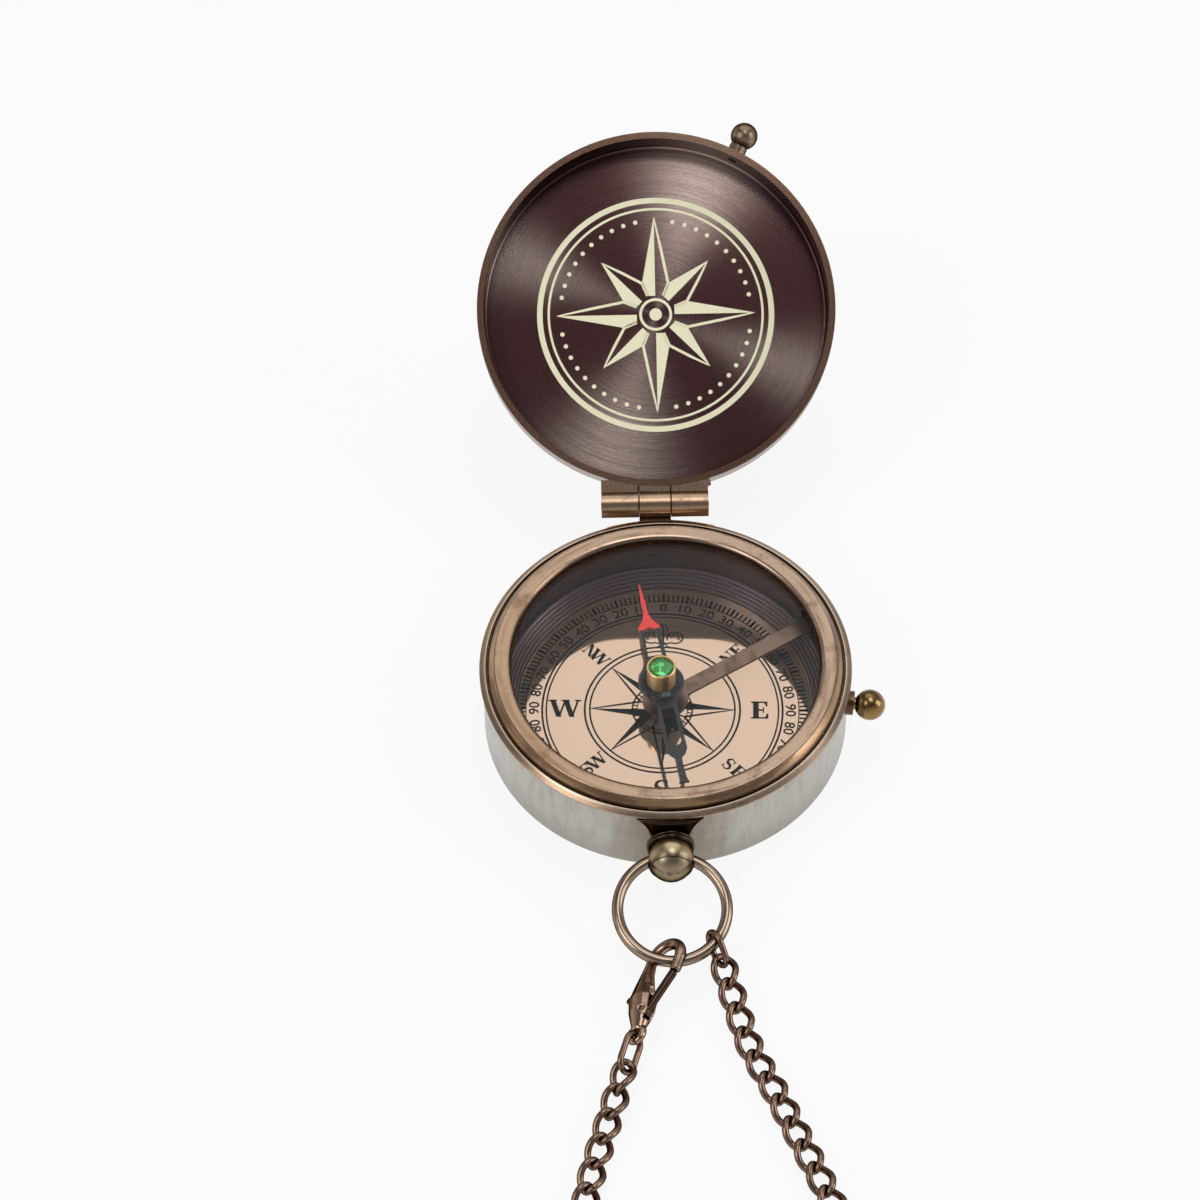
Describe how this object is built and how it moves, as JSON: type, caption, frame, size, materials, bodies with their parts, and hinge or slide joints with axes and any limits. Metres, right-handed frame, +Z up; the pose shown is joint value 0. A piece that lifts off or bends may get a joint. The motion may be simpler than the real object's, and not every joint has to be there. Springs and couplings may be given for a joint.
{
  "type": "pocket compass",
  "caption": "Round pocket compass with a hinged lid, needle lock, pendant with bow ring, and a curb chain closed by a lobster clasp.",
  "frame": {"origin": "centre of the case's bottom face, on the table", "axes": "+Z up out of the dial, +Y to the hinge, -Y to the pendant, +X to the lock button"},
  "size_m": [0.0588, 0.1972, 0.043],
  "materials": {
    "case_grey": "satin, worn",
    "bezel_brass": "antiqued, brushed",
    "fitting_brass": "antiqued, polished",
    "hinge_brass": "antiqued",
    "inner_brass": "turned",
    "dial_copper": "mirror polished, engraved",
    "dark_copper": "dark, turned",
    "lid_brown": "dark, brushed",
    "chain_bronze": "antiqued",
    "clasp_bronze": "antiqued",
    "lever_bronze": "dull",
    "steel": "bright",
    "needle_black": "satin black, red tip",
    "gilt": "gilt, polished",
    "green_glass": "cut stone",
    "crystal_glass": "clear, flat"
  },
  "bodies": {
    "case": {"case_body": "case_grey", "dial_spacer": "inner_brass", "dial_plate": "dial_copper", "dial_ring": "dark_copper", "crystal_retainer": "inner_brass", "crystal": "crystal_glass", "bezel": "bezel_brass", "pivot_post": "inner_brass", "pivot_pin": "steel", "lever_bracket": "lever_bronze", "lever_pin": "steel", "lever_spring": "steel", "button_collar": "fitting_brass", "case_hinge_leaf": "hinge_brass", "hinge_pin": "hinge_brass", "pendant_flare": "chain_bronze", "pendant_collar": "fitting_brass", "pendant_ball": "fitting_brass", "pendant_cap": "fitting_brass", "pendant_stud": "inner_brass", "pendant_nut": "inner_brass"},
    "lid": {"lid_shell": "lid_brown", "lid_hinge_leaf": "hinge_brass", "lid_knob": "fitting_brass", "lid_knob_collar": "fitting_brass"},
    "needle": {"needle_blade": "needle_black", "needle_hub": "needle_black", "needle_cap": "gilt", "needle_jewel": "green_glass"},
    "lever": {"lock_lever": "lever_bronze"},
    "button": {"lock_button": "fitting_brass"},
    "bow": {"bow_ring": "chain_bronze"},
    "chain": {"ring_link": "chain_bronze", "chain_right": "chain_bronze", "chain_right_bend": "chain_bronze", "chain_front_bend": "chain_bronze", "chain_left_bend": "chain_bronze", "chain_left": "chain_bronze", "clasp_link": "chain_bronze", "clasp_body": "clasp_bronze", "clasp_pin": "clasp_bronze", "clasp_spring": "steel"},
    "gate": {"clasp_gate": "clasp_bronze"}
  },
  "joints": [
    {"name": "lid_hinge", "type": "hinge", "parent": "case", "child": "lid", "pos_m": [-0.0008, 0.0298, 0.01295], "axis": [1, 0, 0], "range_deg": [0, 148]},
    {"name": "needle_spin", "type": "hinge", "parent": "case", "child": "needle", "pos_m": [-0.0006, 0, 0.0083], "axis": [0, 0, 1], "continuous": true},
    {"name": "lock_push", "type": "slide", "parent": "case", "child": "button", "axis": [-0.9885, 0.1513, 0], "range_m": [0, 0.00055], "stiffness_N_per_m": 200},
    {"name": "lever_tilt", "type": "hinge", "parent": "case", "child": "lever", "pos_m": [0.02238, 0.01121, 0.0076], "axis": [-0.4478, 0.8942, 0], "range_deg": [0, 8.2]},
    {"name": "ring_swing", "type": "hinge", "parent": "case", "child": "bow", "pos_m": [0, -0.0303, 0.0072], "axis": [-1, 0, 0], "range_deg": [0, 75]},
    {"name": "chain_swing", "type": "hinge", "parent": "bow", "child": "chain", "pos_m": [0.00561, -0.04204, 0.00328], "axis": [-0.9165, -0.399, -0.0274], "range_deg": [0, 40]},
    {"name": "clasp_gate_open", "type": "hinge", "parent": "chain", "child": "gate", "pos_m": [-0.00401, -0.05291, 0.0031], "axis": [-0.6134, 0.1928, 0.7658], "range_deg": [0, 15], "stiffness_Nm_per_rad": 0.002}
  ],
  "couplings": [
    {"joint": "lever_tilt", "follows": "lock_push", "rad_per_m": 260.21}
  ]
}
